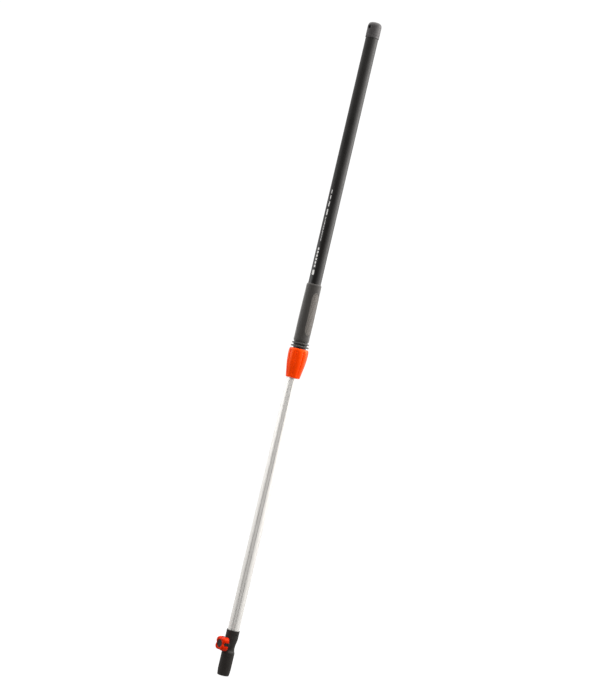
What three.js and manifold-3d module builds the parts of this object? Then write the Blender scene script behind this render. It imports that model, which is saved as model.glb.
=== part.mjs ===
// Telescopic garden-tool handle: coated outer tube with end cap and soft grip,
// grooved inner tube, twist-lock collar, and a clamp-screw tool socket.
// Millimetres. +Z runs along the pole from the tool socket (z = 0 at its mouth)
// to the end cap; -Y is the side the clamp knob points to.
import * as THREE from 'three';
import { mergeVertices } from 'three/addons/utils/BufferGeometryUtils.js';
import Module from 'manifold-3d';

const wasm = await Module();
wasm.setup();

// ---------------------------------------------------------------- dimensions
const LENGTH = 1450;            // overall, fully extended
const TRAVEL = 550;             // telescope travel (900 mm when collapsed)
const N = 36;                   // facets round the pole

const OUTER_R = 14.0;           // outer tube, 28 x 1 mm
const OUTER_BORE_R = 13.0;
const OUTER_Z0 = 697.3;         // lower end, inside the clamp body
const OUTER_Z1 = 1414.6;        // upper end, just under the cap's lip

const INNER_R = 12.4;           // inner tube, 24.8 x 1.2 mm
const INNER_BORE_R = 11.2;
const INNER_Z0 = 84.4;          // seated in the tool socket
const INNER_Z1 = 757.0;
const GROOVE_DEPTH = 1.3;       // two anti-rotation grooves
const GROOVE_HALF = 4.0;        // half width at the surface
const GROOVE_FLOOR = 2.4;       // half width of the floor
const GROOVE_DIR = -45;         // first groove, degrees from +X; second opposite

const CAP_R = 15.1;
const CAP_Z0 = 1415.6;
const HANG_Z = 1437.6;          // hanging hole
const HANG_R = 3.5;

const GRIP_Z0 = 728.4;
const GRIP_Z1 = 869.0;
const GRIP_BORE_R = 14.15;

const CLAMP_Z0 = 689.5;         // clamp body on the end of the outer tube
const CLAMP_Z1 = 720.5;
const THREAD_R = 17.9;

const COLLAR_Z0 = 661.0;
const COLLAR_Z1 = 725.5;
const FLUTES = 8;
const FLUTE_PHASE = -50;        // one flute line, degrees from +X

const SOCKET_TOP = 100.0;
const SOCKET_R = 14.2;
const WAIST_R = 11.7;
const BORE_R = 11.2;            // tool spigot bore
const NECK_BORE_R = 9.5;        // narrower bore through the waist
const BORE_DEPTH = 78.0;

const KNOB_Z = 68.3;            // height of the clamp screw's axis
const BOSS_R = 10.0;
const BOSS_END = 13.9;          // boss face, from the pole's axis
const KNOB_BACK = 15.0;
const KNOB_FRONT = 29.8;
const KNOB_WEB = 4.6;           // thickness of the knob's front web
const LOBE_R = 8.6;
const LOBE_PITCH_R = 8.9;
const NOTCH_W = 7.8;
const SCREW_R = 3.95;           // M8

// ---------------------------------------------------------------- materials
const std = (color, roughness, metalness = 0) =>
  new THREE.MeshStandardMaterial({ color, roughness, metalness });
const M = {
  coat: std(0x262322, 0.42, 0.2),
  alu: std(0xd4d5d6, 0.32, 0.9),
  cap: std(0x6c666a, 0.6),
  grip: std(0x57524f, 0.8),
  pad: std(0x77706a, 0.85),
  orange: std(0xf04800, 0.4),
  knob: std(0xe63a08, 0.4),
  black: std(0x2b2623, 0.55),
  steel: std(0xa8a9ab, 0.35, 0.9),
  brass: std(0xb8924a, 0.35, 0.9),
  pom: std(0xe6e3dc, 0.5),
};

// ---------------------------------------------------------------- helpers
const rad = (d) => (d * Math.PI) / 180;

// closed geometry -> manifold solid, winding turned outwards if needed
function solid(geometry) {
  const g = geometry.clone();
  g.deleteAttribute('normal');
  g.deleteAttribute('uv');
  const m = mergeVertices(g, 1e-4);
  const p = m.attributes.position.array;
  const src = m.index.array;
  const keep = [];
  for (let i = 0; i < src.length; i += 3) {
    const [a, b, c] = [src[i], src[i + 1], src[i + 2]];
    if (a !== b && b !== c && a !== c) keep.push(a, b, c);
  }
  let vol = 0;
  for (let i = 0; i < keep.length; i += 3) {
    const [a, b, c] = [3 * keep[i], 3 * keep[i + 1], 3 * keep[i + 2]];
    vol += p[a] * (p[b + 1] * p[c + 2] - p[b + 2] * p[c + 1])
      - p[a + 1] * (p[b] * p[c + 2] - p[b + 2] * p[c])
      + p[a + 2] * (p[b] * p[c + 1] - p[b + 1] * p[c]);
  }
  if (vol < 0) {
    for (let i = 0; i < keep.length; i += 3) [keep[i], keep[i + 1]] = [keep[i + 1], keep[i]];
  }
  return new wasm.Manifold(new wasm.Mesh({
    numProp: 3,
    vertProperties: new Float32Array(p),
    triVerts: new Uint32Array(keep),
  }));
}

function toGeometry(manifold) {
  const m = manifold.getMesh();
  const g = new THREE.BufferGeometry();
  const pos = new Float32Array((m.vertProperties.length / m.numProp) * 3);
  for (let i = 0; i < pos.length / 3; i++) {
    for (let k = 0; k < 3; k++) pos[3 * i + k] = m.vertProperties[m.numProp * i + k];
  }
  g.setAttribute('position', new THREE.BufferAttribute(pos, 3));
  g.setIndex(new THREE.BufferAttribute(new Uint32Array(m.triVerts), 1));
  g.computeVertexNormals();
  return g;
}

function piece(parent, name, shape, material) {
  const mesh = new THREE.Mesh(toGeometry(shape), material);
  mesh.name = name;
  parent.add(mesh);
  return mesh;
}

// [[r, z], ...] revolved about Z; starts and ends on the axis, or closes on itself
function latheGeo(profile, n = N) {
  const pts = profile.map(([r, z]) => new THREE.Vector2(r, z));
  const first = profile[0];
  const last = profile[profile.length - 1];
  if (first[0] > 0 || last[0] > 0) pts.push(pts[0].clone());
  const g = new THREE.LatheGeometry(pts, n);
  g.rotateX(Math.PI / 2);
  return g;
}
const lathe = (profile, n = N) => solid(latheGeo(profile, n));
const ring = (r0, r1, z0, z1, n = N) => lathe([[r0, z0], [r1, z0], [r1, z1], [r0, z1]], n);
const rod = (r, z0, z1, n = N) => lathe([[0, z0], [r, z0], [r, z1], [0, z1]], n);

// cylinder along a horizontal direction, from r0 to r1 off the pole's axis
function radial(r, dir, r0, r1, z, n = 24) {
  const g = new THREE.CylinderGeometry(r, r, r1 - r0, n);
  g.rotateZ(-Math.PI / 2);               // axis along +X
  g.translate((r0 + r1) / 2, 0, 0);
  g.rotateZ(rad(dir));
  g.translate(0, 0, z);
  return solid(g);
}

function box(w, d, h, x, y, z, turn = 0) {
  const g = new THREE.BoxGeometry(w, d, h);
  g.translate(x, y, z);
  g.rotateZ(rad(turn));
  return solid(g);
}

function prism(shape, z0, z1) {
  const g = new THREE.ExtrudeGeometry(shape, { depth: z1 - z0, bevelEnabled: false, curveSegments: 24 });
  g.translate(0, 0, z0);
  return solid(g);
}

// ---------------------------------------------------------------- handle
const handle = new THREE.Group();

// end cap: domed head with a hanging hole, hollow spigot down into the tube
{
  const head = lathe([
    [0, 1383], [10.4, 1383], [12.3, 1383], [12.85, 1384.2], [12.85, CAP_Z0], [14.6, CAP_Z0],
    [15.0, 1416.4], [CAP_R, 1419], [CAP_R, 1441.2], [14.8, 1443.6], [14.0, 1445.8],
    [12.4, 1447.9], [9.8, 1449.4], [7.0, LENGTH], [0, LENGTH],
  ]);
  const hollow = rod(10.4, 1382, 1426);
  const hole = radial(HANG_R, -90, -20, 20, HANG_Z, 32);
  piece(handle, 'end_cap', head.subtract(hollow).subtract(hole), M.cap);
}

// outer tube, with two holes for the retaining pins
const PIN_Z = 709;
{
  let tube = ring(OUTER_BORE_R, OUTER_R, OUTER_Z0, OUTER_Z1);
  for (const dir of [90, -90]) tube = tube.subtract(radial(2.0, dir, 11, 16, PIN_Z));
  piece(handle, 'outer_tube', tube, M.coat);
}

// soft grip with two flex rings at its lower end and a recess each side for a pad
const GRIP_OUT = [
  [16.9, 741.9], [17.25, 745], [17.1, 752], [17.3, 790], [17.05, 820], [16.65, 850],
  [16.65, 863.4], [16.3, 866.2], [15.5, 868.2], [14.9, GRIP_Z1],
];
const PAD_Z0 = 756.5;
const PAD_Z1 = 850.5;
const PAD_HALF = 9.0;
function padOutline(side, off) {
  // pointed oval seen along X, then extruded along X
  const h = PAD_HALF - off;
  const z0 = PAD_Z0 + off;
  const z1 = PAD_Z1 - off;
  const s = new THREE.Shape();
  s.moveTo(-h, z0 + 14);
  s.quadraticCurveTo(-h, z0 + 3.5, 0, z0);
  s.quadraticCurveTo(h, z0 + 3.5, h, z0 + 14);
  s.lineTo(h, z1 - 14);
  s.quadraticCurveTo(h, z1 - 3.5, 0, z1);
  s.quadraticCurveTo(-h, z1 - 3.5, -h, z1 - 14);
  s.closePath();
  const g = new THREE.ExtrudeGeometry(s, { depth: 16, bevelEnabled: false, curveSegments: 5 });
  g.rotateX(Math.PI / 2);                // outline's y becomes z, depth becomes -y
  g.rotateZ(side > 0 ? Math.PI / 2 : -Math.PI / 2);
  g.translate(side * 8, 0, 0);
  return solid(g);
}
const padShell = (a, b) => {
  const zs = GRIP_OUT.filter(([, z]) => z > 745 && z < 864);
  const lo = zs.map(([r, z]) => [r + a, z]);
  const hi = zs.map(([r, z]) => [r + b, z]).reverse();
  return lathe([...lo, ...hi]);
};
{
  let grip = lathe([
    [GRIP_BORE_R, GRIP_Z0], [19.2, GRIP_Z0], [20.0, 729.3], [20.0, 731.1], [19.4, 732.0],
    [15.0, 732.0], [15.0, 735.2], [18.4, 735.2], [18.9, 736.0], [18.9, 737.8], [18.4, 738.6],
    [15.2, 738.6], [15.2, 741.5], ...GRIP_OUT, [GRIP_BORE_R, GRIP_Z1],
  ]);
  const web = ring(14.6, 17.2, 731.5, 742.3);
  for (const turn of [0, 90]) {
    grip = grip.add(web.intersect(box(44, 6, 20, 0, 0, 736.9, turn)));
  }
  const shell = padShell(-0.9, 4);
  for (const side of [1, -1]) grip = grip.subtract(shell.intersect(padOutline(side, 0)));
  piece(handle, 'grip_sleeve', grip, M.grip);
  const skin = padShell(-0.6, -0.05);
  piece(handle, 'grip_pad_right', skin.intersect(padOutline(1, 0.3)), M.pad);
  piece(handle, 'grip_pad_left', skin.intersect(padOutline(-1, 0.3)), M.pad);
}

// clamp body: threaded sleeve pinned to the tube's end, ledge inside, collet seat below
{
  let body = lathe([
    [15.7, CLAMP_Z0], [17.2, CLAMP_Z0], [THREAD_R, 690.4], [THREAD_R, 719.3], [16.8, CLAMP_Z1],
    [14.15, CLAMP_Z1], [14.15, 697.0], [12.6, 697.0], [12.6, 695.5], [15.7, 695.5],
  ]);
  for (const dir of [90, -90]) body = body.subtract(radial(2.0, dir, 11, 20, PIN_Z));
  piece(handle, 'clamp_body', body, M.black);
  piece(handle, 'retaining_pin_front', radial(1.85, -90, 13.2, 17.4, PIN_Z, 20), M.steel);
  piece(handle, 'retaining_pin_back', radial(1.85, 90, 13.2, 17.4, PIN_Z, 20), M.steel);
}

// collet: ring with tapered fingers round the inner tube and two keys in its grooves
const cone = (z) => 13.3 + (z - 668) * 0.0864;
{
  let collet = lathe([
    [12.55, 668], [cone(668), 668], [cone(689.2), 689.2], [15.45, 689.8], [15.45, 695.2], [12.55, 695.2],
  ]);
  for (let i = 0; i < 3; i++) collet = collet.subtract(box(40, 1.6, 24, 0, 0, 676, 15 + 60 * i));
  for (const turn of [GROOVE_DIR, GROOVE_DIR + 180]) {
    collet = collet.add(box(1.5, 3.6, 5.2, 12.35, 0, 692.6, turn));
  }
  piece(handle, 'clamp_collet', collet, M.pom);
}

// ---------------------------------------------------------------- wedge ring
const wedge = new THREE.Group();
piece(wedge, 'wedge_ring', lathe([
  [13.25, 665.8], [14.1, 665.8], [14.6, 666.3], [14.6, 672.8], [cone(672.8) + 0.2, 672.8],
  [cone(668) + 0.2, 668],
]), M.black);

// ---------------------------------------------------------------- twist collar
const collar = new THREE.Group();
{
  const outer = [
    [15.0, COLLAR_Z0], [15.5, 662.0], [16.6, 668.5], [18.0, 677], [19.5, 686], [20.7, 694.5],
    [21.4, 703], [21.85, 711], [21.9, 716], [21.5, 720.5], [20.8, 723.2], [19.7, 725.0],
  ];
  const g = latheGeo([
    [12.8, COLLAR_Z0], ...outer, [18.6, COLLAR_Z1], [17.7, COLLAR_Z1], [17.7, 725.0],
    [18.2, 724.6], [18.2, 689.0], [15.7, 689.0], [15.7, 676.5], [14.8, 675.6], [14.8, 665.5],
    [12.8, 665.5],
  ], 48);
  // grip flutes: eight shallow grooves between rounded lobes
  const p = g.attributes.position;
  for (let i = 0; i < p.count; i++) {
    const [x, y, z] = [p.getX(i), p.getY(i), p.getZ(i)];
    const r = Math.hypot(x, y);
    const k = outer.findIndex(([rr, zz]) => Math.abs(rr - r) < 1e-3 && Math.abs(zz - z) < 1e-3);
    if (k < 2 || k > 10) continue;
    const a = (Math.atan2(y, x) - rad(FLUTE_PHASE)) * FLUTES;
    const near = Math.pow((1 + Math.cos(a)) / 2, 6);
    const depth = z < 670 ? 0.35 : Math.min(1.15, 0.35 + (z - 668) * 0.03);
    const s = (r - depth * near) / r;
    p.setXY(i, x * s, y * s);
  }
  piece(collar, 'lock_collar', solid(g), M.orange);
  piece(collar, 'collar_retainer', lathe([
    [14.5, 722.7], [17.3, 722.7], [17.9, 723.1], [17.9, 724.2], [17.4, 724.6], [14.5, 724.6],
  ]), M.black);
}

// ---------------------------------------------------------------- inner section
const inner = new THREE.Group();

// ring section with the two rolled grooves
function grooved(r, floorR, half, floorHalf) {
  const pts = [];
  const a1 = Math.asin(half / r);
  const a0 = Math.asin(floorHalf / floorR);
  for (const base of [GROOVE_DIR, GROOVE_DIR + 180]) {
    const b = rad(base);
    pts.push([r, b - a1], [floorR, b - a0], [floorR * Math.cos(a0 * 0.5) + 0.02, b], [floorR, b + a0], [r, b + a1]);
    const start = b + a1;
    const end = b + Math.PI - a1;
    const steps = 20;
    for (let i = 1; i < steps; i++) pts.push([r, start + ((end - start) * i) / steps]);
  }
  return pts.map(([q, t]) => new THREE.Vector2(q * Math.cos(t), q * Math.sin(t)));
}
{
  const s = new THREE.Shape(grooved(INNER_R, INNER_R - GROOVE_DEPTH, GROOVE_HALF, GROOVE_FLOOR));
  s.holes.push(new THREE.Path(grooved(INNER_BORE_R, INNER_BORE_R - GROOVE_DEPTH, GROOVE_HALF + 0.3, GROOVE_FLOOR + 0.5)));
  let tube = prism(s, INNER_Z0, INNER_Z1);
  tube = tube.subtract(radial(1.75, 0, -16, 16, 92));
  piece(inner, 'inner_tube', tube, M.alu);
}

// guide sleeve on the tube's upper end, and the plug that closes it
const grooveClear = (z0, z1) => {
  let c = box(6, 10, z1 - z0, 12.2, 0, (z0 + z1) / 2, GROOVE_DIR);
  c = c.add(box(6, 10, z1 - z0, 12.2, 0, (z0 + z1) / 2, GROOVE_DIR + 180));
  return c;
};
piece(inner, 'guide_sleeve', ring(12.5, 12.88, 697.4, 756.6), M.pom);
{
  const plug = lathe([
    [0, 735], [10.6, 735], [11.05, 736], [11.05, INNER_Z1 + 0.2], [12.6, INNER_Z1 + 0.2],
    [12.85, 758], [12.85, 763], [12.2, 764], [0, 764],
  ]);
  piece(inner, 'top_plug', plug.subtract(rod(8.6, 734, 758)).subtract(grooveClear(734, INNER_Z1 + 0.1)), M.black);
}

// tool socket: jacket and plug on the tube, partition, waist, stepped bore, screw boss
{
  let s = lathe([
    [0, 0], [12.9, 0], [13.2, 3.2], [13.75, 8.5], [14.1, 13], [SOCKET_R, 18], [SOCKET_R, 50],
    [13.55, 52.4], [12.45, 55], [11.85, 58], [WAIST_R, 60.5], [WAIST_R, 64.5], [12.05, 68.5],
    [12.75, 72.5], [13.6, 77], [14.05, 80], [SOCKET_R, 83], [SOCKET_R, 99.4], [13.6, SOCKET_TOP],
    [11.05, SOCKET_TOP], [11.05, 126.8], [10.2, 128], [0, 128],
  ]);
  const boss = radial(BOSS_R, -90, 4, BOSS_END, KNOB_Z, 40);
  s = s.add(boss);
  s = s.subtract(lathe([
    [0, -1], [11.6, -1], [11.6, 0], [BORE_R, 0.6], [BORE_R - 0.1, 51.5], [NECK_BORE_R, 57.5],
    [NECK_BORE_R, BORE_DEPTH], [0, BORE_DEPTH],
  ]));
  s = s.subtract(ring(11.05, 12.55, 84, SOCKET_TOP + 1));
  s = s.subtract(grooveClear(84, 129));
  s = s.subtract(rod(8.4, 88, 129));
  s = s.subtract(radial(6.1, -90, 6, BOSS_END + 1, KNOB_Z, 32));
  s = s.subtract(radial(1.75, 0, -16, 16, 92));
  piece(inner, 'tool_socket', s, M.black);
  // cross pin through jacket, tube and plug
  piece(inner, 'socket_pin', radial(1.6, 0, -14.0, 14.0, 92, 20), M.steel);
}

// clamp screw's parts are laid out along their own axis: local z = distance from
// the pole's axis, local y = up the pole
const screwFrame = () => {
  const g = new THREE.Group();
  g.position.set(0, 0, KNOB_Z);
  g.rotation.x = Math.PI / 2;
  return g;
};
const insertFrame = screwFrame();
piece(insertFrame, 'threaded_insert', ring(4.15, 5.95, 9.9, 13.6, 32), M.brass);
inner.add(insertFrame);

// ---------------------------------------------------------------- clamp pad
const pad = screwFrame();
piece(pad, 'pressure_pad', lathe([
  [0, 6.5], [3.2, 6.5], [3.7, 7.0], [3.7, 8.6], [1.75, 8.6], [1.75, 7.5], [0, 7.5],
], 24), M.pom);

// ---------------------------------------------------------------- clamp knob
const knob = screwFrame();
function hex(r) {
  const s = new THREE.Shape();
  for (let i = 0; i < 6; i++) s[i ? 'lineTo' : 'moveTo'](r * Math.cos((i * Math.PI) / 3), r * Math.sin((i * Math.PI) / 3));
  s.closePath();
  return s;
}
{
  const shank = lathe([
    [0, 7.8], [1.45, 7.8], [1.45, 8.9], [3.3, 8.9], [SCREW_R, 9.6], [SCREW_R, 22.2], [0, 22.2],
  ], 32);
  piece(knob, 'clamp_screw', shank.add(prism(hex(6.0), 22.0, 26.6)), M.steel);

  // hub: black core with four drive ribs and a hexagonal pocket for the screw's head
  let core = rod(8.4, KNOB_BACK + 0.3, 27.2, 40);
  for (const turn of [0, 90]) core = core.add(box(21.2, NOTCH_W - 0.6, 9.4, 0, 0, 20.1, turn));
  core = core.subtract(rod(4.15, 14, 22, 32)).subtract(prism(hex(6.3), 21.7, 28));
  piece(knob, 'knob_core', core, M.black);
  piece(knob, 'knob_cap', lathe([[0, 27.5], [8.5, 27.5], [8.5, 28.7], [7.9, 29.2], [0, 29.2]], 40), M.black);

  // four-lobed orange shell: full outline over the front web, notched behind it
  const back = KNOB_BACK;
  const front = KNOB_FRONT;
  const lobe = (dir) => {
    const g = latheGeo([
      [0, back], [LOBE_R - 0.7, back], [LOBE_R, back + 0.7], [LOBE_R - 0.3, 24.5],
      [LOBE_R - 0.9, 27.6], [LOBE_R - 2.0, 29.2], [LOBE_R - 3.2, front], [0, front],
    ], 28);
    g.translate(LOBE_PITCH_R * Math.cos(rad(dir)), LOBE_PITCH_R * Math.sin(rad(dir)), 0);
    return solid(g);
  };
  let shell = rod(9.6, back + 0.5, front, 40);
  for (const dir of [45, 135, 225, 315]) shell = shell.add(lobe(dir));
  const notchLen = front - KNOB_WEB - (back - 1);
  for (const turn of [0, 90]) {
    shell = shell.subtract(box(44, NOTCH_W, notchLen, 0, 0, back - 1 + notchLen / 2, turn));
  }
  shell = shell.subtract(rod(8.75, back - 1, front + 1, 40));
  piece(knob, 'knob_shell', shell, M.knob);
}

// ---------------------------------------------------------------- assembly
const telescopic_handle = new THREE.Group();
telescopic_handle.userData = { travel: TRAVEL };
telescopic_handle.add(handle, wedge, collar, inner, pad, knob);

export default telescopic_handle;
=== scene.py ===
import math
import bpy
import bmesh
import numpy as np
from mathutils import Matrix, Vector


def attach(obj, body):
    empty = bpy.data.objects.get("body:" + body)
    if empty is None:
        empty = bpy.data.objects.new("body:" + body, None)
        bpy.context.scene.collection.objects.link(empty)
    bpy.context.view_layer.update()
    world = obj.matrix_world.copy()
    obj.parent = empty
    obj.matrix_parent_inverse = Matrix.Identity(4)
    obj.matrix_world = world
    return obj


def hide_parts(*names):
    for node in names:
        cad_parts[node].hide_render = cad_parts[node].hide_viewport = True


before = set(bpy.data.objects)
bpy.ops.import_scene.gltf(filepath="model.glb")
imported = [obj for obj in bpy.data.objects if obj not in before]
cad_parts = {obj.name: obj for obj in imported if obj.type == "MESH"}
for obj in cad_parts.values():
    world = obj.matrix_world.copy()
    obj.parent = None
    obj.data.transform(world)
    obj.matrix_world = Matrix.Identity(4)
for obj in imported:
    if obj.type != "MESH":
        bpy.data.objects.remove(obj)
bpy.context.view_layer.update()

MM = 0.001
TAU = 2 * math.pi
scene = bpy.context.scene


# ------------------------------------------------------------------ materials
def material(name, base, rough, metallic=0.0, specular=0.5, tone=0.12, tone_scale=60.0,
             grain_scale=2200.0, grain=0.12, grain_depth=0.00006, rough_var=0.08,
             stretch=(1, 1, 1), speck=0.0, coat=0.0, sheen=0.0, edge=0.0, tint=(1, 1, 1),
             sheen_tint=(1, 1, 1), groove_shade=None):
    m = bpy.data.materials.new(name)
    m.use_nodes = True
    nt = m.node_tree
    nt.nodes.clear()
    N, L = nt.nodes.new, nt.links.new
    out = N("ShaderNodeOutputMaterial")
    b = N("ShaderNodeBsdfPrincipled")
    L(b.outputs[0], out.inputs[0])
    b.inputs["Metallic"].default_value = metallic
    b.inputs["Specular IOR Level"].default_value = specular
    b.inputs["Specular Tint"].default_value = (*tint, 1)
    b.inputs["Coat Weight"].default_value = coat
    b.inputs["Coat Roughness"].default_value = 0.25
    b.inputs["Sheen Weight"].default_value = sheen
    b.inputs["Sheen Roughness"].default_value = 0.4
    b.inputs["Sheen Tint"].default_value = (*sheen_tint, 1)
    tc = N("ShaderNodeTexCoord")
    mp = N("ShaderNodeMapping")
    mp.inputs["Scale"].default_value = stretch
    L(tc.outputs["Object"], mp.inputs["Vector"])
    # slow colour variation over the whole piece
    slow = N("ShaderNodeTexNoise")
    slow.inputs["Scale"].default_value = tone_scale
    slow.inputs["Detail"].default_value = 5
    L(mp.outputs[0], slow.inputs["Vector"])
    mix = N("ShaderNodeMix")
    mix.data_type = "RGBA"
    lo = [c * (1 - tone) for c in base]
    hi = [min(1.0, c * (1 + tone) + 0.0015) for c in base]
    mix.inputs["A"].default_value = (*lo, 1)
    mix.inputs["B"].default_value = (*hi, 1)
    L(slow.outputs["Fac"], mix.inputs["Factor"])
    colour = mix.outputs["Result"]
    # fine moulded or sprayed grain
    fine = N("ShaderNodeTexNoise")
    fine.inputs["Scale"].default_value = grain_scale
    fine.inputs["Detail"].default_value = 3
    L(mp.outputs[0], fine.inputs["Vector"])
    if speck:
        ramp = N("ShaderNodeValToRGB")
        ramp.color_ramp.elements[0].position = 0.60
        ramp.color_ramp.elements[1].position = 0.72
        L(fine.outputs["Fac"], ramp.inputs["Fac"])
        m2 = N("ShaderNodeMix")
        m2.data_type = "RGBA"
        m2.blend_type = "MIX"
        mul = N("ShaderNodeMath")
        mul.operation = "MULTIPLY"
        mul.inputs[1].default_value = speck
        L(ramp.outputs["Color"], mul.inputs[0])
        L(mul.outputs[0], m2.inputs["Factor"])
        L(colour, m2.inputs["A"])
        m2.inputs["B"].default_value = (*[min(1, c * 2.2 + 0.02) for c in base], 1)
        colour = m2.outputs["Result"]
    # painted highlight: convex edges (high pointiness) get a lighter base colour, as strong as the edge value
    if edge:
        geo = N("ShaderNodeNewGeometry")
        edge_highlight_mask = N("ShaderNodeMapRange")
        edge_highlight_mask.inputs["From Min"].default_value = 0.51
        edge_highlight_mask.inputs["From Max"].default_value = 0.58
        edge_highlight_mask.inputs["To Max"].default_value = edge
        L(geo.outputs["Pointiness"], edge_highlight_mask.inputs["Value"])
        edge_highlight_mix = N("ShaderNodeMix")
        edge_highlight_mix.data_type = "RGBA"
        L(edge_highlight_mask.outputs[0], edge_highlight_mix.inputs["Factor"])
        L(colour, edge_highlight_mix.inputs["A"])
        edge_highlight_mix.inputs["B"].default_value = (*[min(1, c * 1.8 + 0.02) for c in base], 1)
        colour = edge_highlight_mix.outputs["Result"]
    if groove_shade:
        # painted shade: the base colour is darkened on the steep sides of the extruded grooves
        (gx, gy), g0, g1, painted_shade = groove_shade
        across = N("ShaderNodeVectorMath")
        across.operation = "DOT_PRODUCT"
        L(tc.outputs["Object"], across.inputs[0])
        across.inputs[1].default_value = (gx, gy, 0)
        size = N("ShaderNodeMath")
        size.operation = "ABSOLUTE"
        L(across.outputs["Value"], size.inputs[0])
        gr = N("ShaderNodeMapRange")
        gr.inputs["From Min"].default_value = g0
        gr.inputs["From Max"].default_value = g1
        L(size.outputs[0], gr.inputs["Value"])
        gc = N("ShaderNodeValToRGB")
        for k, (x, y) in enumerate(((0.0, 1.0), (0.3, painted_shade), (0.7, painted_shade), (1.0, 1.0))):
            q = gc.color_ramp.elements[k] if k < 2 else gc.color_ramp.elements.new(x)
            q.position = x
            q.color = (y, y, y, 1)
        L(gr.outputs[0], gc.inputs["Fac"])
        m4 = N("ShaderNodeMix")
        m4.data_type = "RGBA"
        m4.blend_type = "MULTIPLY"
        m4.inputs["Factor"].default_value = 1.0
        L(colour, m4.inputs["A"])
        L(gc.outputs["Color"], m4.inputs["B"])
        colour = m4.outputs["Result"]
    L(colour, b.inputs["Base Color"])
    rr = N("ShaderNodeMapRange")
    rr.inputs["To Min"].default_value = max(0.02, rough - rough_var)
    rr.inputs["To Max"].default_value = min(1.0, rough + rough_var)
    L(slow.outputs["Fac"], rr.inputs["Value"])
    L(rr.outputs[0], b.inputs["Roughness"])
    bump = N("ShaderNodeBump")
    bump.inputs["Strength"].default_value = grain
    bump.inputs["Distance"].default_value = grain_depth
    L(fine.outputs["Fac"], bump.inputs["Height"])
    L(bump.outputs[0], b.inputs["Normal"])
    return m


# the edge values below paint highlights into the base colour along convex edges
MAT = {
    "coat": material("powder_coat_black", (0.0035, 0.0027, 0.0024), 0.40, specular=0.47, tone=0.25,
                     tone_scale=35, grain_scale=1500, grain=0.3, speck=0.05),
    "cap": material("cap_grey_plastic", (0.045, 0.042, 0.044), 0.42, specular=0.5, tone=0.16,
                    tone_scale=120, grain_scale=1500, grain=0.55, grain_depth=0.0001, speck=0.25, edge=0.35),
    "grip": material("grip_soft_grey", (0.027, 0.024, 0.0215), 0.60, specular=0.42, tone=0.14,
                     tone_scale=80, grain_scale=1700, grain=0.6, grain_depth=0.0001, speck=0.22,
                     sheen=0.8, edge=0.3),
    "pad": material("grip_pad_grey", (0.100, 0.090, 0.081), 0.55, specular=0.4, tone=0.16,
                    tone_scale=120, grain_scale=1700, grain=0.6, grain_depth=0.0001, speck=0.25,
                    sheen=0.6, edge=1.0),
    "orange": material("collar_orange", (0.93, 0.045, 0.0004), 0.36, specular=0.45, tint=(1, 0.6, 0.06), tone=0.08,
                       sheen=0.1, sheen_tint=(1.0, 0.34, 0.03),
                       tone_scale=45, grain_scale=1700, grain=0.25, rough_var=0.06),
    "knob": material("knob_red_orange", (0.58, 0.014, 0.0003), 0.40, specular=0.2, tint=(1, 0.5, 0.06), tone=0.10,
                     sheen=0.05, sheen_tint=(1.0, 0.22, 0.02),
                     tone_scale=90, grain_scale=1700, grain=0.25, rough_var=0.06),
    "black": material("socket_black_plastic", (0.0125, 0.0100, 0.0083), 0.48, specular=0.45, tone=0.22,
                      tone_scale=70, grain_scale=1500, grain=0.5, grain_depth=0.00009, speck=0.10, edge=0.25),
    # the groove entry paints shade into the colour along the flanks of the two grooves
    "alu": material("anodised_aluminium", (0.90, 0.89, 0.87), 0.60, groove_shade=((0.70711, 0.70711), 0.0022, 0.0042, 0.66), metallic=1.0, tone=0.05,
                    tone_scale=260, grain_scale=2600, grain=0.22, grain_depth=0.00003,
                    stretch=(1, 1, 0.012), rough_var=0.08),
    "steel": material("zinc_steel", (0.55, 0.55, 0.56), 0.30, metallic=1.0, tone=0.08, tone_scale=300,
                      grain_scale=3000, grain=0.15, rough_var=0.08),
    "black_steel": material("black_oxide_steel", (0.03, 0.029, 0.028), 0.38, metallic=0.8, tone=0.15,
                            tone_scale=300, grain_scale=3000, grain=0.15),
    "brass": material("turned_brass", (0.66, 0.45, 0.16), 0.28, metallic=1.0, tone=0.08, tone_scale=300,
                      grain_scale=3000, grain=0.15),
    "pom": material("natural_acetal", (0.76, 0.74, 0.68), 0.42, tone=0.05, tone_scale=120,
                    grain_scale=2000, grain=0.15),
    "print": material("print_white", (0.72, 0.72, 0.71), 0.5, tone=0.12, tone_scale=900,
                      grain_scale=3000, grain=0.1),
}


# ------------------------------------------------------------------ mesh tools
def finish_mesh(name, me, mat, sharp=32):
    me.validate()
    me.polygons.foreach_set("use_smooth", [True] * len(me.polygons))
    me.set_sharp_from_angle(angle=math.radians(sharp))
    ob = bpy.data.objects.new(name, me)
    scene.collection.objects.link(ob)
    me.materials.clear()
    me.materials.append(mat)
    return ob


def outwards(me):
    bm = bmesh.new()
    bm.from_mesh(me)
    bmesh.ops.remove_doubles(bm, verts=bm.verts, dist=1e-7)
    bmesh.ops.recalc_face_normals(bm, faces=bm.faces)
    bm.to_mesh(me)
    bm.free()


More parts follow.
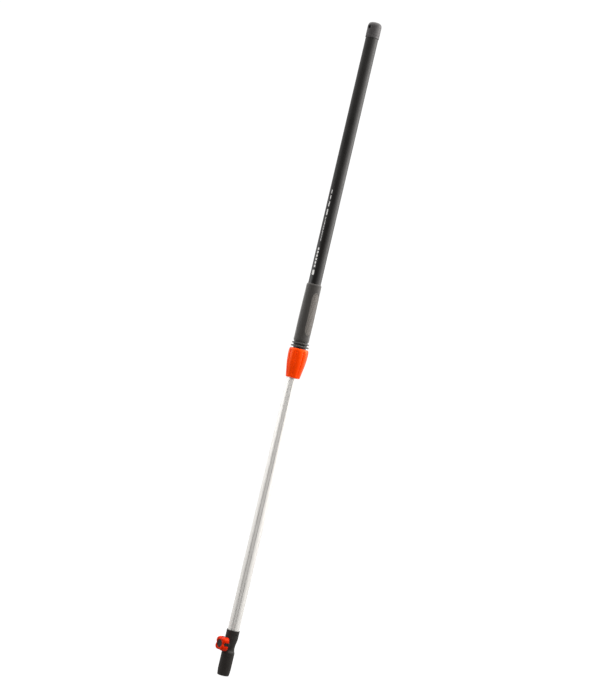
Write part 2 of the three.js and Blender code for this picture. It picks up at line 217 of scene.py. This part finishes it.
def rings(name, R, Z, mat, close=True, sharp=32, place=None):
    """R, Z: (rings, facets) in mm. close joins the last ring to the first; otherwise
    the two end rings have radius 0 and become points on the axis."""
    R = np.asarray(R, float)
    Z = np.asarray(Z, float)
    m, n = R.shape
    t = np.arange(n) * TAU / n
    P = np.stack([R * np.cos(t), R * np.sin(t), Z + 0 * R], axis=-1) * MM
    verts = []
    index = np.zeros((m, n), int)
    for i in range(m):
        if not close and i in (0, m - 1):
            index[i, :] = len(verts)
            verts.append(tuple(P[i, 0]))
        else:
            index[i] = np.arange(len(verts), len(verts) + n)
            verts.extend(map(tuple, P[i]))
    faces = []
    for i in range(m if close else m - 1):
        a, b = index[i], index[(i + 1) % m]
        for j in range(n):
            k = (j + 1) % n
            q = [a[j], a[k], b[k], b[j]]
            f = []
            for v in q:
                if v not in f:
                    f.append(int(v))
            if len(f) > 2:
                faces.append(f)
    me = bpy.data.meshes.new(name)
    me.from_pydata(verts, [], faces)
    outwards(me)
    if place is not None:
        me.transform(place)
    return finish_mesh(name, me, mat, sharp)


def fillet(points, closed=True, k=4):
    """[(r, z, radius), ...] with rounded corners, as a list of (r, z)."""
    out = []
    n = len(points)
    for i, p in enumerate(points):
        rad = p[2] if len(p) > 2 else 0
        if not rad or (not closed and i in (0, n - 1)):
            out.append((p[0], p[1]))
            continue
        a = Vector(points[i - 1][:2])
        b = Vector(p[:2])
        c = Vector(points[(i + 1) % n][:2])
        u, w = (a - b), (c - b)
        lu, lw = u.length, w.length
        u.normalize()
        w.normalize()
        ang = u.angle(w)
        cut = min(rad / max(math.tan(ang / 2), 1e-4), lu * 0.48, lw * 0.48)
        for j in range(k + 1):
            s = j / k
            q = (b + u * cut) * (1 - s) ** 2 + b * 2 * s * (1 - s) + (b + w * cut) * s ** 2
            out.append((q.x, q.y))
    return out


def lathe(name, points, mat, n=128, closed=True, k=4, disp=None, sharp=32, place=None):
    pts = fillet(points, closed, k)
    R = np.array([[p[0]] * n for p in pts], float)
    Z = np.array([[p[1]] * n for p in pts], float)
    if disp:
        R = disp(R, Z, np.arange(n) * TAU / n)
    return rings(name, R, Z, mat, closed, sharp, place)


def curve_through(pts, step):
    """Catmull-Rom through (z, r), sampled about every step mm in z."""
    z = np.array([p[0] for p in pts], float)
    r = np.array([p[1] for p in pts], float)
    out = []
    for i in range(len(z) - 1):
        m = max(1, int(round((z[i + 1] - z[i]) / step)))
        d0 = (r[i + 1] - r[i - 1]) / (z[i + 1] - z[i - 1]) if i else (r[1] - r[0]) / (z[1] - z[0])
        d1 = (r[i + 2] - r[i]) / (z[i + 2] - z[i]) if i + 2 < len(z) else (r[-1] - r[-2]) / (z[-1] - z[-2])
        h = z[i + 1] - z[i]
        for j in range(m):
            s = j / m
            rr = ((2 * s ** 3 - 3 * s ** 2 + 1) * r[i] + (s ** 3 - 2 * s ** 2 + s) * h * d0
                  + (3 * s ** 2 - 2 * s ** 3) * r[i + 1] + (s ** 3 - s ** 2) * h * d1)
            out.append((rr, z[i] + h * s))
    out.append((r[-1], z[-1]))
    return out


def smooth(x, a, b):
    t = np.clip((x - a) / (b - a), 0, 1)
    return t * t * (3 - 2 * t)


def boolean(ob, cutter, op="DIFFERENCE"):
    mod = ob.modifiers.new("cut", "BOOLEAN")
    mod.operation = op
    mod.solver = "EXACT"
    mod.object = cutter
    dg = bpy.context.evaluated_depsgraph_get()
    me = bpy.data.meshes.new_from_object(ob.evaluated_get(dg), depsgraph=dg)
    ob.modifiers.clear()
    old = ob.data
    ob.data = me
    bpy.data.meshes.remove(old)
    cm = cutter.data
    bpy.data.objects.remove(cutter)
    bpy.data.meshes.remove(cm)
    me.polygons.foreach_set("use_smooth", [True] * len(me.polygons))
    me.set_sharp_from_angle(angle=math.radians(32))
    return ob


def bar(name, w, d, h, mat, place, bevel=0.0):
    bm = bmesh.new()
    bmesh.ops.create_cube(bm, size=1)
    bmesh.ops.scale(bm, vec=(w * MM, d * MM, h * MM), verts=bm.verts)
    if bevel:
        bmesh.ops.bevel(bm, geom=bm.edges[:], offset=bevel * MM, segments=4, profile=0.5, affect="EDGES")
    me = bpy.data.meshes.new(name)
    bm.to_mesh(me)
    bm.free()
    me.transform(place)
    return finish_mesh(name, me, mat)


def own(ob, body, slot, *nodes):
    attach(ob, body)
    if nodes:
        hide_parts(*nodes)
    return ob


KNOB_Z = 68.3
# along the camera's direction, then upwards: (cosine, value)
WORLD_FRONT = ((-1.0, 1.0), (-0.6, 0.8), (-0.1, 0.5), (0.35, 0.32), (0.7, 0.16), (1.0, 0.13))
WORLD_SKY = ((-1.0, 1.0), (-0.75, 0.8), (-0.5, 0.15), (-0.3, 0.0), (0.25, 0.0), (0.45, 0.3), (0.7, 2.1), (1.0, 2.3))
WORLD_HIGH = ((-1.0, 0.4), (-0.35, 0.4), (-0.15, 0.6), (0.05, 1.0), (1.0, 1.0))
# name, angle, distance, z0, z1, width, radiance, tilt
LIGHTS = (("key_right", 98, 1.1, 0.66, 2.2, 1.05, 3.9, 0, (1, 0.975, 0.95)),
          ("fill_right", 58, 1.2, 0.62, 2.2, 0.75, 1.8, 0, (1, 0.975, 0.95)),
          ("edge_right", 32, 1.3, 0.55, 2.2, 0.5, 0.75, 0, (1, 0.975, 0.95)),
          ("low_right", 95, 1.3, -0.6, 0.6, 1.1, 0.25, 0, (1, 0.975, 0.95)),
          ("fill_left", -95, 1.3, 0.1, 2.0, 1.2, 0.3, 0),
          ("mid_left", -88, 1.2, 0.60, 1.0, 1.2, 2.5, 0))
# local z = distance from the pole's axis towards -Y, local y = up
SCREW = Matrix.Translation((0, 0, KNOB_Z * MM)) @ Matrix.Rotation(math.radians(90), 4, "X")

# ------------------------------------------------------------------ camera
AZ = math.radians(51)
ROLL = math.radians(13.19)
DIST = 3.898
cam_data = bpy.data.cameras.new("camera")
cam_data.lens = 36 * 1800 / 700
cam_data.sensor_width = 36
cam_data.clip_end = 50
cam = bpy.data.objects.new("camera", cam_data)
scene.collection.objects.link(cam)
right = Vector((math.cos(AZ), math.sin(AZ), 0))
back = Vector((math.sin(AZ), -math.cos(AZ), 0))
cam.matrix_world = (Matrix.Translation(back * DIST + right * 0.0021 + Vector((0, 0, 0.7230)))
                    @ Matrix.Rotation(AZ, 4, "Z") @ Matrix.Rotation(math.radians(90), 4, "X")
                    @ Matrix.Rotation(ROLL, 4, "Z"))
scene.camera = cam

# ------------------------------------------------------------------ end cap
dome = [(7.0, 1450), (8.6, 1449.85), (10.2, 1449.3), (11.8, 1448.35), (13.1, 1447.0), (14.1, 1445.3),
        (14.75, 1443.4), (15.05, 1441.2), (15.1, 1439.0)]
cap = lathe("end_cap_shell", [(0, 1450), *dome, (15.1, 1421.4, 0.2), (14.75, 1421.1, 0.2), (14.75, 1420.3, 0.2),
            (15.1, 1420.0, 0.2), (15.1, 1416.0, 0.5), (14.4, 1415.6, 0.2), (12.85, 1415.6, 0.1), (12.85, 1384.2, 0.4),
            (12.2, 1383, 0.2), (10.4, 1383, 0.3), (10.4, 1426, 1.5), (0, 1426)], MAT["cap"], n=160, closed=False)
flare = [(0, -17), (5.6, -17), (5.0, -15.6), (4.3, -14.7), (3.8, -14.0), (3.55, -13.0), (3.5, -11.5),
         (3.5, 11.5), (3.55, 13.0), (3.8, 14.0), (4.3, 14.7), (5.0, 15.6), (5.6, 17), (0, 17)]
hole = lathe("hole_cutter", flare, MAT["cap"], n=48, closed=False,
             place=Matrix.Translation((0, 0, 1437.6 * MM)) @ Matrix.Rotation(math.radians(90), 4, "X"))
boolean(cap, hole)
own(cap, "handle", "cap_plastic", "end_cap")

# ------------------------------------------------------------------ outer tube
tube = lathe("outer_tube_skin", [(13.0, 697.3, 0.1), (14.0, 697.3, 0.3), (14.0, 1414.6, 0.3), (13.0, 1414.6, 0.1)],
             MAT["coat"], n=160)
own(tube, "handle", "black_powder_coat", "outer_tube")


# printed marks: plain bars on the tube's left flank
def mark(parts, z0, z1, width, centre=12.3, off=0.0):
    a = math.radians(centre - 90) + off / 14.0
    verts, faces = [], []
    h = z1 - z0
    rc = min(width, h) * 0.32
    outline = []
    for cx, cz, s in ((1, 1, 0), (-1, 1, 90), (-1, -1, 180), (1, -1, 270)):
        for k in range(5):
            t = math.radians(s + k * 22.5)
            outline.append((cx * (width / 2 - rc) + rc * math.cos(t), (z0 + z1) / 2 + cz * (h / 2 - rc) + rc * math.sin(t)))
    n = len(outline)
    skin = 14.04 + 14 * (1 - math.cos(width / 56))
    for r in (13.98, skin):
        for x, z in outline:
            t = a + x / 14.0
            verts.append((r * math.cos(t) * MM, r * math.sin(t) * MM, z * MM))
        verts.append((r * math.cos(a) * MM, r * math.sin(a) * MM, (z0 + z1) / 2 * MM))
    for j in range(n):
        k = (j + 1) % n
        faces.append((j, k, n))
        faces.append((n + 1 + k, n + 1 + j, n + 1 + n))
        faces.append((k, j, n + 1 + j, n + 1 + k))
    parts.append((verts, faces))


marks = []
for z0, z1, w in ((1068.0, 1076, 2.0), (1054.5, 1064, 2.0), (1039.2, 1050.5, 2.4), (1020.0, 1033, 2.6)):
    mark(marks, z0, z1, w)
for i in range(9):
    mark(marks, 962.7 + i * 6.0, 967.5 + i * 6.0, 1.2)
for i in range(6):
    mark(marks, 904.4 + i * 7.6, 909.8 + i * 7.6, 3.7)
mark(marks, 887.5, 898.5, 5.4)
verts, faces = [], []
for v, f in marks:
    o = len(verts)
    verts += v
    faces += [tuple(i + o for i in q) for q in f]
me = bpy.data.meshes.new("printed_marks")
me.from_pydata(verts, [], faces)
outwards(me)
own(finish_mesh("printed_marks", me, MAT["print"]), "handle", "black_powder_coat")

# ------------------------------------------------------------------ soft grip
grip_r = curve_through([(742.4, 17.0), (745, 17.25), (752, 17.12), (765, 17.2), (790, 17.3), (820, 17.05),
                        (850, 16.65), (863.4, 16.65)], 0.6)
GZ = np.array([z for _, z in grip_r])
GR = np.array([r for r, _ in grip_r])
PAD_Z0, PAD_Z1, PAD_H = 756.5, 850.5, 9.0


def pad_half(z, off=0.0):
    """half width of the pad's pointed-oval outline at height z"""
    e = np.minimum(z - PAD_Z0, PAD_Z1 - z) - off
    t = np.clip(e / 14.0, 0, 1)
    return (PAD_H - off) * np.sqrt(np.clip(1 - (1 - t) ** 2.2, 0, 1))


def grip_disp(R, Z, T):
    R = R.copy()
    y = R * np.sin(T)[None, :]
    side = np.abs(np.cos(T))[None, :] > 0.5
    h = pad_half(Z)
    inside = smooth(h - np.abs(y), -0.25, 0.35) * side * (h > 0.05)
    outer = (R > 16.2) & (Z > PAD_Z0 - 1) & (Z < PAD_Z1 + 1)
    R -= np.where(outer, 0.85 * inside, 0)
    # ribs that bridge the two flex grooves
    near = np.minimum.reduce([np.abs((T + math.pi / 4) % (math.pi / 2) - math.pi / 4)])[None, :]
    bridge = 1 - smooth(near * 16, 2.6, 3.6)
    groove = (((Z > 732.05) & (Z < 735.15)) | ((Z > 738.65) & (Z < 741.45))) & (R < 16.5) & (R > 14.6)
    R = np.where(groove, R + (17.1 - R) * bridge, R)
    return R


def walls(z0, z1, r, step=0.4):
    m = max(2, int((z1 - z0) / step))
    return [(r, z0 + (z1 - z0) * i / m) for i in range(m + 1)]


lower = [(14.15, 728.4, 0.1), (19.3, 728.4, 0.5), (20.0, 729.2, 0.7), (20.0, 731.3, 0.7), (19.2, 732.0, 0.5)]
lower = fillet(lower + [(15.2, 732.0)], closed=False)[:-1]
mid = fillet([(15.2, 735.2), (18.3, 735.2, 0.4), (18.9, 735.9, 0.6), (18.9, 738.0, 0.6), (18.3, 738.6, 0.4), (15.4, 738.6)], closed=False)
upper = fillet([(15.4, 741.5), (16.6, 741.5, 0.5), (17.0, 742.4)], closed=False)
top = fillet([(16.65, 863.4), (16.62, 866.3, 2.0), (15.4, 868.4, 1.2), (14.9, 869.0, 0.4), (14.15, 869.0)], closed=False, k=6)
profile = (lower + [(15.2, 732.06)] + walls(732.1, 735.1, 15.0) + [(15.2, 735.14)] + mid
           + [(15.4, 738.66)] + walls(738.7, 741.4, 15.2) + [(15.4, 741.44)] + upper
           + [(r, z) for r, z in grip_r][1:] + top[1:])
n = 240
R = np.array([[p[0]] * n for p in profile], float)
Z = np.array([[p[1]] * n for p in profile], float)
R = grip_disp(R, Z, np.arange(n) * TAU / n)
own(rings("grip_soft_sleeve", R, Z, MAT["grip"], True), "handle", "grip_rubber", "grip_sleeve")


def pad(name, side):
    rows, cols = 380, 76
    zz = np.linspace(PAD_Z0 + 0.35, PAD_Z1 - 0.35, rows)
    tt = np.sin(np.linspace(-1, 1, cols) * math.pi / 2 * 0.98) / math.sin(math.pi / 2 * 0.98)
    tt = 0.35 * tt + 0.65 * np.linspace(-1, 1, cols)
    Zg = np.repeat(zz[:, None], cols, 1)
    H = np.maximum(pad_half(Zg, 0.3), 0.25)
    Y = H * tt[None, :]
    Rs = np.interp(Zg, GZ, GR)
    # studs on a staggered grid, fading towards the border
    p = 4.3
    row = np.round(Zg / (p * 0.866))
    yy = Y - (row % 2) * p / 2
    dy = yy - np.round(yy / p) * p
    dz = Zg - row * p * 0.866
    d = np.sqrt(dy ** 2 + dz ** 2)
    border = smooth(H - np.abs(Y), 1.1, 1.9)
    stud = 0.62 * np.sqrt(np.clip(1 - (d / 1.45) ** 2, 0, 1)) * border
    inset = H - np.abs(Y)
    rim = 0.25 * (1 - smooth(inset, 0.0, 0.35)) + 0.45 * smooth(inset, 0.9, 1.3)
    top = np.minimum(Rs - 0.02 - rim + stud, Rs + 0.12)
    low = Rs - 0.80 + 0 * top
    verts = []
    for S in (top, low):
        a = np.arcsin(np.clip(Y / Rs, -1, 1))
        X = S * np.cos(a) * side
        verts.append(np.stack([X, S * np.sin(a), Zg], -1).reshape(-1, 3))
    V = np.concatenate(verts) * MM
    q = rows * cols
    F = []
    for i in range(rows - 1):
        for j in range(cols - 1):
            a = i * cols + j
            F.append((a, a + 1, a + cols + 1, a + cols))
            F.append((q + a, q + a + cols, q + a + cols + 1, q + a + 1))
    edge = ([(0, j) for j in range(cols)] + [(i, cols - 1) for i in range(1, rows)]
            + [(rows - 1, j) for j in range(cols - 2, -1, -1)] + [(i, 0) for i in range(rows - 2, 0, -1)])
    e = [i * cols + j for i, j in edge]
    for a, b in zip(e, e[1:] + e[:1]):
        F.append((b, a, q + a, q + b))
    me = bpy.data.meshes.new(name)
    me.from_pydata([tuple(v) for v in V], [], F)
    outwards(me)
    return finish_mesh(name, me, MAT["pad"], 50)


own(pad("grip_pad_x_plus", 1), "handle", "grip_pad_rubber", "grip_pad_right")
own(pad("grip_pad_x_minus", -1), "handle", "grip_pad_rubber", "grip_pad_left")

# ------------------------------------------------------------------ twist collar
FLUTE0 = math.radians(-50)
outer = curve_through([(661.6, 15.35), (668.5, 16.6), (677, 18.0), (686, 19.5), (694.5, 20.7), (703, 21.4),
                       (711, 21.85), (716, 21.9), (720.5, 21.5), (723.2, 20.7), (724.8, 19.6)], 0.8)


def flutes(R, Z, T):
    a = (T - FLUTE0) % (TAU / 8)
    s = np.degrees(np.minimum(a, TAU / 8 - a))[None, :]
    window = smooth(Z, 662.5, 668.5) * (1 - smooth(Z, 717.5, 723.0))
    lobe = 1.15 * (1 - s / 22.5) ** 1.6
    cut = 1.15 * np.exp(-(s / 2.6) ** 2)
    deep = np.interp(Z, [662, 677, 690, 700, 716], [0.45, 0.6, 0.55, 0.8, 0.95])
    return np.where(R > 15.2, R - window * deep * (lobe + cut) * (Z > 661.5), R)


inside = fillet([(18.6, 725.5, 0.3), (17.7, 725.5, 0.2), (17.7, 725.0), (18.2, 724.6), (18.2, 689.0), (15.7, 689.0),
                 (15.7, 676.5), (14.8, 675.6), (14.8, 665.5), (12.8, 665.5), (12.8, 661.3), (13.1, 661.0),
                 (14.7, 661.0), (15.15, 661.15)], closed=False)
prof = outer + [(18.9, 725.4)] + inside
n = 320
R = np.array([[p[0]] * n for p in prof], float)
Z = np.array([[p[1]] * n for p in prof], float)
T = np.arange(n) * TAU / n
m_out = len(outer)
R[:m_out] = flutes(R[:m_out], Z[:m_out], T)
own(rings("twist_collar", R, Z, MAT["orange"], True, sharp=40), "collar", "orange_plastic", "lock_collar")
own(lathe("collar_top_ring", [(14.5, 722.7, 0.2), (17.6, 722.7, 0.2), (17.6, 724.7, 0.4), (14.5, 724.7, 0.5)],
          MAT["black"], n=128), "collar", "black_plastic", "collar_retainer")


# ------------------------------------------------------------------ inner tube
def groove_depth(T, r, half, floor):
    d = np.zeros_like(T)
    for base in (-45, 135):
        a = np.abs((T - math.radians(base) + math.pi) % TAU - math.pi) * r
        t = np.clip((a - floor) / (half - floor), 0, 1)
        d = np.maximum(d, 1.3 * (1 - (0.35 * t * t * (3 - 2 * t) + 0.65 * t)))
    return d


n = 288
T = np.arange(n) * TAU / n
Ro = 12.4 - groove_depth(T, 12.4, 4.0, 2.7)
Ri = 11.2 - groove_depth(T, 11.2, 4.4, 3.0)
zs = [84.4, 84.7] + list(np.linspace(100, 740, 33)) + [756.7, 757.0]
stack_r = [Ri * 0.5 + Ro * 0.5] + [Ro - (0.25 if i in (0, len(zs) - 1) else 0) for i in range(len(zs))]
stack_z = [84.4] + zs
stack_r += [Ri * 0.5 + Ro * 0.5] + [Ri] * 3
stack_z += [757.0, 757.0, 420.0, 84.4]
R = np.array(stack_r)
Z = np.repeat(np.array(stack_z, float)[:, None], n, 1)
own(rings("inner_tube_grooved", R, Z, MAT["alu"], True, sharp=60), "inner_section", "anodised_aluminium", "inner_tube")

# ------------------------------------------------------------------ tool socket
sock = curve_through([(18, 14.2), (34, 14.2), (48, 14.2), (50, 14.1), (52.4, 13.55), (55, 12.5), (58, 11.88), (60.5, 11.7),
                      (64.5, 11.7), (68.5, 12.05), (72.5, 12.75), (77, 13.6), (80, 14.02), (83, 14.2), (90, 14.2), (98.6, 14.2)], 0.45)
mouth = fillet([(9.5, 57.5, 0.8), (11.1, 51.5, 0.8), (11.2, 0.8, 0.2), (11.6, 0.0, 0.2), (12.75, 0.0, 0.6), (13.1, 2.2, 2.0),
                (13.75, 8.5, 3.0), (14.1, 13.0, 3.0), (14.2, 18)], closed=False, k=5)
topp = fillet([(14.2, 98.6), (14.2, 100, 0.9), (12.55, 100, 0.3), (12.55, 84), (11.05, 84), (11.05, 127.2, 0.4), (10.4, 128, 0.3),
               (8.4, 128, 0.3), (8.4, 88, 0.5), (0, 88)], closed=False)
prof = [(0, 78.0), (9.0, 78.0), (9.5, 77.5)] + mouth[:-1] + sock + topp[1:]
i0 = 3 + len(mouth) - 1
i1 = i0 + len(sock)
n = 256
R = np.array([[p[0]] * n for p in prof], float)
Z = np.array([[p[1]] * n for p in prof], float)
T = np.arange(n) * TAU / n
phi = T + math.pi / 2                      # angle from -Y
c, s = np.cos(phi)[None, :], np.sin(phi)[None, :]
Rs, Zs = R[i0:i1], Z[i0:i1]
dz = Zs - KNOB_Z
w = np.sqrt(np.clip(10.0 ** 2 - dz ** 2, 0, None))
with np.errstate(divide="ignore", invalid="ignore"):
    face = np.where(c > 0.2, 13.9 / np.maximum(c, 0.2), 0)
    flank = w / np.maximum(np.abs(s), 1e-3)
k = 0.45
reach = np.minimum(face, flank)
reach = np.where(np.abs(face - flank) < 2 * k, reach - (2 * k - np.abs(face - flank)) ** 2 / (8 * k), reach)
reach = np.where(c > 0.2, reach, 0)
k = 0.7
g = np.maximum(Rs, reach)
g = np.where(np.abs(Rs - reach) < 2 * k, g + (2 * k - np.abs(Rs - reach)) ** 2 / (8 * k), g)
R[i0:i1] = np.where(reach > 5, g, Rs)
socket = rings("tool_socket_body", R, Z, MAT["black"], False, sharp=35)
boolean(socket, lathe("insert_cutter", [(0, 5.5), (6.1, 5.5), (6.1, 13.5), (6.5, 14.2), (6.5, 17), (0, 17)], MAT["black"], n=64,
                      closed=False, place=SCREW))
for side in (1, -1):
    cutter = lathe("pin_cutter", [(0, 0), (1.75, 0), (1.75, 13.6), (2.3, 14.6), (0, 14.6)], MAT["black"], n=40, closed=False,
                   place=Matrix.Translation((0, 0, 92 * MM)) @ Matrix.Rotation(math.radians(90 * side), 4, "Y"))
    boolean(socket, cutter)
own(socket, "inner_section", "black_plastic", "tool_socket")

# ------------------------------------------------------------------ clamp knob
def lobes(T):
    best = None
    for k in range(4):
        d = np.cos(T - math.radians(45 + 90 * k))
        sd = np.sin(T - math.radians(45 + 90 * k))
        r = np.where(d > 0, 8.9 * d + np.sqrt(np.clip(8.6 ** 2 - (8.9 * sd) ** 2, 0, None)), 0)
        best = r if best is None else np.log(np.exp(best * 1.4) + np.exp(r * 1.4)) / 1.4
    return best


n = 240
T = np.arange(n) * TAU / n
L = lobes(T)
L = L - (L.max() - 17.45)
off = [(15.0, 0.9), (15.15, 0.45), (15.45, 0.12), (15.9, 0.0), (20, 0.05), (24, 0.25), (26.2, 0.6), (27.5, 1.05), (28.5, 1.65),
       (29.2, 2.35), (29.6, 3.0), (29.8, 3.8)]
R = [np.full(n, 8.75), np.full(n, 9.2)] + [L - o for _, o in off]
Z = [15.3, 15.0] + [d for d, _ in off]
R += [np.full(n, 9.35), np.full(n, 8.9), np.full(n, 8.75)]
Z += [29.8, 29.65, 29.2]
R = np.array(R)
R[13] = np.maximum(R[13], 9.5)
Z = np.repeat(np.array(Z, float)[:, None], n, 1)
shell = rings("knob_orange_shell", R, Z, MAT["knob"], True, sharp=40, place=SCREW)
for turn in (0, 90):
    cut = bar("slot_cutter", 46, 7.8, 15.0, MAT["knob"],
              SCREW @ Matrix.Rotation(math.radians(turn), 4, "Z") @ Matrix.Translation((0, 0, 18.5 * MM)), bevel=1.1)
    boolean(shell, cut)
bev = shell.modifiers.new("soften", "BEVEL")
bev.width = 0.3 * MM
bev.segments = 2
bev.limit_method = "ANGLE"
bev.angle_limit = math.radians(50)
bev.use_clamp_overlap = True
own(shell, "clamp_knob", "red_orange_plastic", "knob_shell")

core = lathe("knob_hub", [(4.15, 15.3, 0.2), (7.9, 15.3, 0.4), (8.4, 15.9, 0.3), (8.4, 27.2, 0.3), (6.6, 27.2), (6.6, 21.7), (4.15, 21.7)],
             MAT["black"], n=96, place=SCREW)
for turn in (0, 90, 180, 270):
    rib = bar("rib", 3.4, 7.2, 9.3, MAT["black"],
              SCREW @ Matrix.Rotation(math.radians(turn), 4, "Z") @ Matrix.Translation((8.9 * MM, 0, 20.1 * MM)), bevel=0.5)
    boolean(core, rib, "UNION")
own(core, "clamp_knob", "black_plastic", "knob_core")
own(lathe("knob_face_disc", [(0, 27.5), (8.45, 27.5, 0.2), (8.45, 29.1, 0.6), (7.2, 29.2, 0.5), (6.7, 28.8, 0.5), (0, 28.65)],
          MAT["black"], n=96, closed=False, k=5, place=SCREW), "clamp_knob", "black_plastic", "knob_cap")

# ------------------------------------------------------------------ CAD pieces that stay
for node, key in {"clamp_body": "black", "retaining_pin_front": "steel", "retaining_pin_back": "steel",
                  "clamp_collet": "pom", "wedge_ring": "black", "guide_sleeve": "pom", "top_plug": "black",
                  "socket_pin": "black_steel", "threaded_insert": "brass", "pressure_pad": "pom",
                  "clamp_screw": "steel"}.items():
    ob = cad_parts[node]
    for slot in ob.material_slots:
        slot.material = MAT[key]

# ------------------------------------------------------------------ studio
# a plain white floor and wall as the camera sees them, in a dim room with soft boxes around the pole
floor_mat = bpy.data.materials.new("floor_white")
floor_mat.use_nodes = True
fb = floor_mat.node_tree.nodes["Principled BSDF"]
fb.inputs["Base Color"].default_value = (0.05, 0.05, 0.05, 1)
fb.inputs["Roughness"].default_value = 1.0
fb.inputs["Specular IOR Level"].default_value = 0.0
fb.inputs["Emission Color"].default_value = (1, 1, 1, 1)
fb.inputs["Emission Strength"].default_value = 1.0
bm = bmesh.new()
bmesh.ops.create_circle(bm, cap_ends=True, segments=128, radius=1.5)
me = bpy.data.meshes.new("floor")
bm.to_mesh(me)
bm.free()
me.materials.append(floor_mat)
floor = bpy.data.objects.new("floor", me)
floor.location = (0, 0, -0.004)
floor.visible_glossy = False
floor.visible_diffuse = False
floor.visible_shadow = False
scene.collection.objects.link(floor)

world = bpy.data.worlds.new("studio")
scene.world = world
world.use_nodes = True
nt = world.node_tree
nt.nodes.clear()
N, Lk = nt.nodes.new, nt.links.new
wout = N("ShaderNodeOutputWorld")
cam_bg = N("ShaderNodeBackground")
cam_bg.inputs[0].default_value = (1, 1, 1, 1)
cam_bg.inputs[1].default_value = 1.05
light_bg = N("ShaderNodeBackground")
light_bg.inputs[0].default_value = (1.0, 0.98, 0.955, 1)
tc = N("ShaderNodeTexCoord")


def along(v):
    d = N("ShaderNodeVectorMath")
    d.operation = "DOT_PRODUCT"
    Lk(tc.outputs["Generated"], d.inputs[0])
    d.inputs[1].default_value = tuple(v)
    return d.outputs["Value"]


def times(a, b):
    m = N("ShaderNodeMath")
    m.operation = "MULTIPLY"
    Lk(a, m.inputs[0])
    if isinstance(b, (int, float)):
        m.inputs[1].default_value = b
    else:
        Lk(b, m.inputs[1])
    return m.outputs[0]


def curve(value, stops):
    r = N("ShaderNodeValToRGB")
    r.color_ramp.interpolation = "B_SPLINE"
    m = N("ShaderNodeMapRange")
    m.inputs["From Min"].default_value = -1
    m.inputs["From Max"].default_value = 1
    Lk(value, m.inputs["Value"])
    Lk(m.outputs[0], r.inputs["Fac"])
    top = max(y for _, y in stops)
    e = r.color_ramp.elements
    while len(e) > 1:
        e.remove(e[0])
    for k, (x, y) in enumerate(stops):
        q = e[0] if k == 0 else e.new((x + 1) / 2)
        q.position = (x + 1) / 2
        q.color = (y / top, y / top, y / top, 1)
    return times(r.outputs["Color"], float(top))


front = curve(along(back), WORLD_FRONT)
high = curve(along((0, 0, 1)), WORLD_HIGH)
add = N("ShaderNodeMath")
add.operation = "ADD"
Lk(times(front, high), add.inputs[0])
Lk(curve(along((0, 0, 1)), WORLD_SKY), add.inputs[1])
Lk(add.outputs[0], light_bg.inputs[1])
lp = N("ShaderNodeLightPath")
mx = N("ShaderNodeMixShader")
Lk(lp.outputs["Is Camera Ray"], mx.inputs[0])
Lk(light_bg.outputs[0], mx.inputs[1])
Lk(cam_bg.outputs[0], mx.inputs[2])
Lk(mx.outputs[0], wout.inputs[0])


def softbox(name, angle, dist, z0, z1, w, radiance, tilt=0.0, colour=(1, 1, 1)):
    """angle in degrees right of the camera's direction; the box faces the pole"""
    a = AZ + math.radians(angle)
    d = Vector((math.sin(a), -math.cos(a), 0))
    data = bpy.data.lights.new(name, "AREA")
    data.shape = "RECTANGLE"
    data.size = w
    data.size_y = z1 - z0
    data.energy = radiance * math.pi * w * (z1 - z0)
    data.color = colour
    ob = bpy.data.objects.new(name, data)
    scene.collection.objects.link(ob)
    ob.matrix_world = (Matrix.Translation(d * dist + Vector((0, 0, (z0 + z1) / 2))) @ Matrix.Rotation(a, 4, "Z")
                       @ Matrix.Rotation(math.radians(90 - tilt), 4, "X"))
    return ob


for row in LIGHTS:
    softbox(*row)

scene.view_settings.view_transform = "Standard"
scene.view_settings.look = "None"
scene.view_settings.exposure = 0
scene.view_settings.gamma = 1
